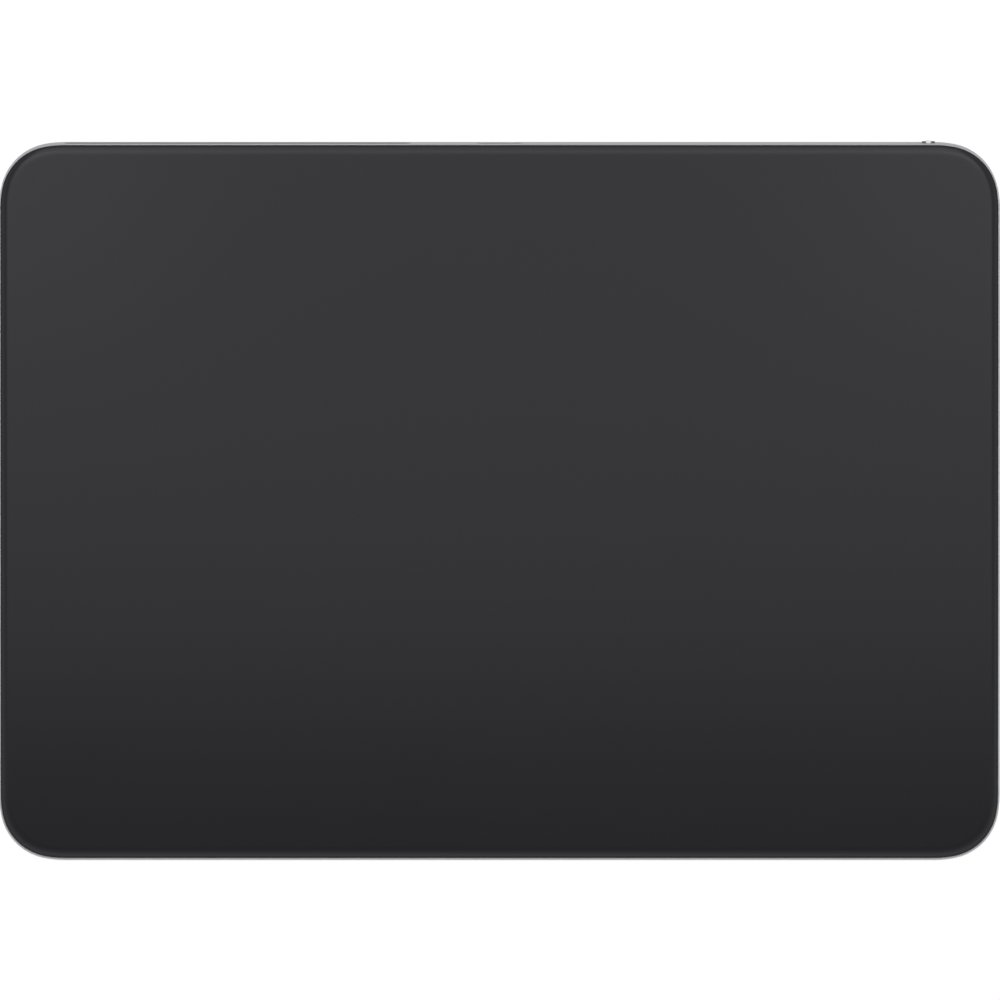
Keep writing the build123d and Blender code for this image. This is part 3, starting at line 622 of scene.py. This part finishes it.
def softened(name, node, width):
    """A copy of a frame node with rounded edges, in the node's place."""
    mesh = bmesh.new()
    mesh.from_mesh(nodes[node].data)
    bmesh.ops.remove_doubles(mesh, verts=mesh.verts, dist=SAME_POINT)
    bmesh.ops.dissolve_limit(mesh, angle_limit=FLAT_ANGLE, verts=mesh.verts, edges=mesh.edges)
    sharp = [edge for edge in mesh.edges if is_sharp(edge)]
    rounding = {"offset": width, "offset_type": "OFFSET", "segments": ROUND_STEPS}
    rounding |= {"profile": 0.5, "affect": "EDGES", "clamp_overlap": True}
    bmesh.ops.bevel(mesh, geom=sharp, **rounding)
    for face in mesh.faces:
        face.smooth = True
    piece = solid(name, mesh)
    piece.modifiers.new("flat_flats", "WEIGHTED_NORMAL")
    return piece


knob = softened("slide_knob_soft", "power_switch_knob", KNOB_ROUND)
# The knob's finish is partly painted shade: its grey is darker than the knob, for the shade of its slot.
dress(knob, "dark_plastic", "power_switch", "power_switch_knob", finish="knob_grey_painted_shade")
ridge = softened("slide_ridge_soft", "switch_ridge", RIDGE_ROUND)
dress(ridge, "bright_steel", "power_switch", "switch_ridge")

# %% [markdown]
# ## The mouth of the charging port
#
# The port's liner starts a little behind the wall's face. On the real thing a dark moulded lip
# closes that step, so the opening reads as one dark pill with a soft edge. Its outline is a
# rounded rectangle with nearly the largest radius, a hair under it so that no two points
# fall together. The loft is a closed ring: it goes round the lip's front and comes back.

# %% Outline and section of the lip
LIP_WALL = 0.34 * MM
LIP_RECESS = 0.05 * MM
LIP_ROUND = 0.12 * MM
LIP_STEPS = 6
LIP_CORNER_STEPS = 20
NEARLY_ROUND = 0.999

lip_start = reach("port_insulator", along)[1]


def rounded_rectangle(half_x, half_y, radius, steps):
    """Its points anticlockwise, each with the direction that faces outwards."""
    points = []
    for turn, (sign_x, sign_y) in enumerate(((1, 1), (-1, 1), (-1, -1), (1, -1))):
        for step in range(steps + 1):
            angle = QUARTER * (turn + step / steps)
            out = (math.cos(angle), math.sin(angle))
            corner = (sign_x * (half_x - radius), sign_y * (half_y - radius))
            points.append((corner[0] + radius * out[0], corner[1] + radius * out[1], *out))
    return points


def lip_section():
    """Insets and depths from the inner foot, over the rounded front, to the outer foot."""
    length = body_rear - LIP_RECESS - lip_start
    angles = [QUARTER * step / LIP_STEPS for step in range(LIP_STEPS, -1, -1)]
    section = [(LIP_WALL, length)]
    for angle in angles:
        inset = LIP_WALL - LIP_ROUND * (1 - math.sin(angle))
        section.append((inset, LIP_ROUND * (1 - math.cos(angle))))
    for angle in angles:
        inset = LIP_ROUND * (1 - math.cos(angle))
        section.append((inset, LIP_ROUND * (1 - math.sin(angle))))
    return section + [(0, length)]


print("the lip has", len(lip_section()), "rings")

# %% Port lip
lip_sides, lip_heights = reach("port_insulator", across), reach("port_insulator", up)
lip_half = ((lip_sides[1] - lip_sides[0]) / 2, (lip_heights[1] - lip_heights[0]) / 2)
lip_height = (lip_heights[0] + lip_heights[1]) / 2
lip_middle = up * lip_height + along * (body_rear - LIP_RECESS)


def on_wall(x, y, depth):
    return lip_middle - across * x + up * y - along * depth


pill = rounded_rectangle(*lip_half, NEARLY_ROUND * lip_half[1], LIP_CORNER_STEPS)
port_lip = loft("port_lip", pill, lip_section(), on_wall, hollow=True)
dress(port_lip, "dark_plastic", "chassis")

# %% [markdown]
# ## Feet
#
# Four rubber discs carry the trackpad. Punched from sheet and pressed on, they end in a soft
# edge and a very slightly crowned face, which touches the desk in its middle. They are lofted
# upwards from that face, and the disc is the lip's rounded rectangle with equal sides.

# %% Rounded feet
FOOT_ROUND = 0.22 * MM
FOOT_CROWN = 0.04 * MM
FOOT_STEPS = 8
FOOT_CORNER_STEPS = 18
FACE_RINGS = ((4, 0), (1.5, 0.35))  # insets in rounds, depths in crowns


def foot_section(height):
    """Insets and depths from the crowned face, over its rounded edge, to the top."""
    section = [(inset * FOOT_ROUND, depth * FOOT_CROWN) for inset, depth in FACE_RINGS]
    for step in range(FOOT_STEPS + 1):
        angle = QUARTER * step / FOOT_STEPS
        drop = FOOT_CROWN + (FOOT_ROUND - FOOT_CROWN) * (1 - math.cos(angle))
        section.append((FOOT_ROUND * (1 - math.sin(angle)), drop))
    return section + [(0, height)]


def foot(node):
    low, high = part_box(node)
    middle = (low + high) / 2

    def on_desk(x, y, depth):
        return Vector((middle.x - x, middle.y + y, low.z + depth))

    radius = (high.x - low.x) / 2
    disc = rounded_rectangle(radius, radius, NEARLY_ROUND * radius, FOOT_CORNER_STEPS)
    return loft(f"{node}_rounded", disc, foot_section(high.z - low.z), on_desk)


for end in ("front", "rear"):
    for side in ("left", "right"):
        node = f"foot_{end}_{side}"
        dress(foot(node), "foot_rubber", "chassis", node)

# %% [markdown]
# ## The studio
#
# The photograph has a white ground with hardly a shadow, the look of a sweep that is lit from
# behind. A large pale plane stands for it: a glow just short of white, and a pale paint on it
# that takes the faint shadow beside the body. It mustn't be brighter than white, because then
# it would eat into the thin metal rim. It doesn't mirror in the metal, and from below it is
# clear, so that the underside can be looked at as well.

# %% Floor
FLOOR_HALF = 12.0
FLOOR_GLOW = 0.88
FLOOR_PAINT = 0.22


def floor_paint():
    """Glow and pale paint from above, clear from below."""
    paint = bpy.data.materials.new("floor")
    paint.use_nodes = True
    finish = Finish(paint.node_tree)
    glow = finish.node("ShaderNodeEmission", None, {"Strength": FLOOR_GLOW})
    pale = finish.node("ShaderNodeBsdfDiffuse", None, {"Color": (FLOOR_PAINT,) * 3 + (1,)})
    lit = finish.node("ShaderNodeAddShader", None, {0: glow, 1: pale})
    clear = finish.node("ShaderNodeBsdfTransparent")
    from_below = finish.node("ShaderNodeNewGeometry", output="Backfacing")
    mixed = finish.node("ShaderNodeMixShader", None, {0: from_below, 1: lit, 2: clear})
    finish.node("ShaderNodeOutputMaterial", None, {"Surface": mixed})
    return paint


plane = bmesh.new()
bmesh.ops.create_grid(plane, x_segments=1, y_segments=1, size=FLOOR_HALF)
floor = solid("floor", plane)
floor.data.materials.append(floor_paint())
floor.visible_glossy = False
floor.visible_diffuse = False
floor.visible_shadow = False
print("floor:", 2 * FLOOR_HALF, "m wide")

# %% [markdown]
# ## Light
#
# The glass is brightest at its rear and fades towards its front, and that fade is the mirror
# image of a large softbox that hangs low over the trackpad and ends just ahead of it. A
# narrow box over the rear edge and one at each side lift the rear corners a little. The room
# is a gradient: bright at the horizon and above 30 degrees, so that the metal reads as silver,
# with a darker band between, which keeps the glass black when it is seen from low down, and
# dim overhead. It is a little brighter ahead of the trackpad, for the front edge.

# %% World
bpy.context.scene.view_settings.view_transform = "Standard"
ROOM_STOPS = (  # from straight down, 0, over the horizon, 0.5, to straight up, 1
    (0.0, (0.54, 0.54, 0.55)),
    (0.42, (0.62, 0.62, 0.63)),
    (0.5, (0.80, 0.80, 0.81)),
    (0.56, (0.42, 0.42, 0.43)),
    (0.70, (0.40, 0.40, 0.41)),
    (0.79, (0.92, 0.92, 0.92)),
    (0.86, (0.72, 0.72, 0.72)),
    (0.90, (0.58, 0.58, 0.58)),
    (0.96, (0.44, 0.44, 0.44)),
    (0.99, (0.26, 0.26, 0.26)),
)
FRONT_GAIN = 0.25

world = bpy.data.worlds.new("room")
world.use_nodes = True
bpy.context.scene.world = world
room = Finish(world.node_tree)
direction = room.node("ShaderNodeTexCoord", output="Generated")
height = room.node("ShaderNodeSeparateXYZ", None, {"Vector": direction}, output="Z")
rearward = room.node("ShaderNodeSeparateXYZ", None, {"Vector": direction}, output="Y")
room_light = room.node("ShaderNodeValToRGB", {"stops": ROOM_STOPS}, {"Fac": height * 0.5 + 0.5})
strength = 1.0 - FRONT_GAIN * rearward
background = room.node("ShaderNodeBackground", None, {"Color": room_light, "Strength": strength})
room.node("ShaderNodeOutputWorld", None, {"Surface": background})
print("room light stops:", len(ROOM_STOPS))

# %% Softboxes
BOX_HEIGHT = 0.30
BOX_FRONT = -0.066
BOX_DEPTH = 0.44
BOX_WIDTH = 0.36
BOX_LAYER = 0.002  # each kind hangs this much below the one before
SIDE_HEIGHT = BOX_HEIGHT - 2 * BOX_LAYER
SOFTBOXES = {  # centre, width and depth in metres, and radiance
    "softbox": ((0, BOX_FRONT + BOX_DEPTH / 2, BOX_HEIGHT), BOX_WIDTH, BOX_DEPTH, 0.62),
    "rear_box": ((0, 0.125, BOX_HEIGHT - BOX_LAYER), BOX_WIDTH, 0.09, 0.55),
    "side_box_left": ((-0.11, 0.15, SIDE_HEIGHT), 0.10, 0.30, 0.34),
    "side_box_right": ((0.11, 0.15, SIDE_HEIGHT), 0.10, 0.30, 0.34),
}


def softbox(name, centre, width, depth, radiance):
    """A soft light that shines straight down, as bright per area as asked."""
    lamp = bpy.data.lights.new(name, "AREA")
    lamp.shape = "RECTANGLE"
    lamp.size, lamp.size_y = width, depth
    lamp.energy = radiance * math.pi * width * depth
    placed = put_in_scene(bpy.data.objects.new(name, lamp))
    placed.location = centre
    placed.visible_camera = False


for name, values in SOFTBOXES.items():
    softbox(name, *values)
print("lights:", *SOFTBOXES)
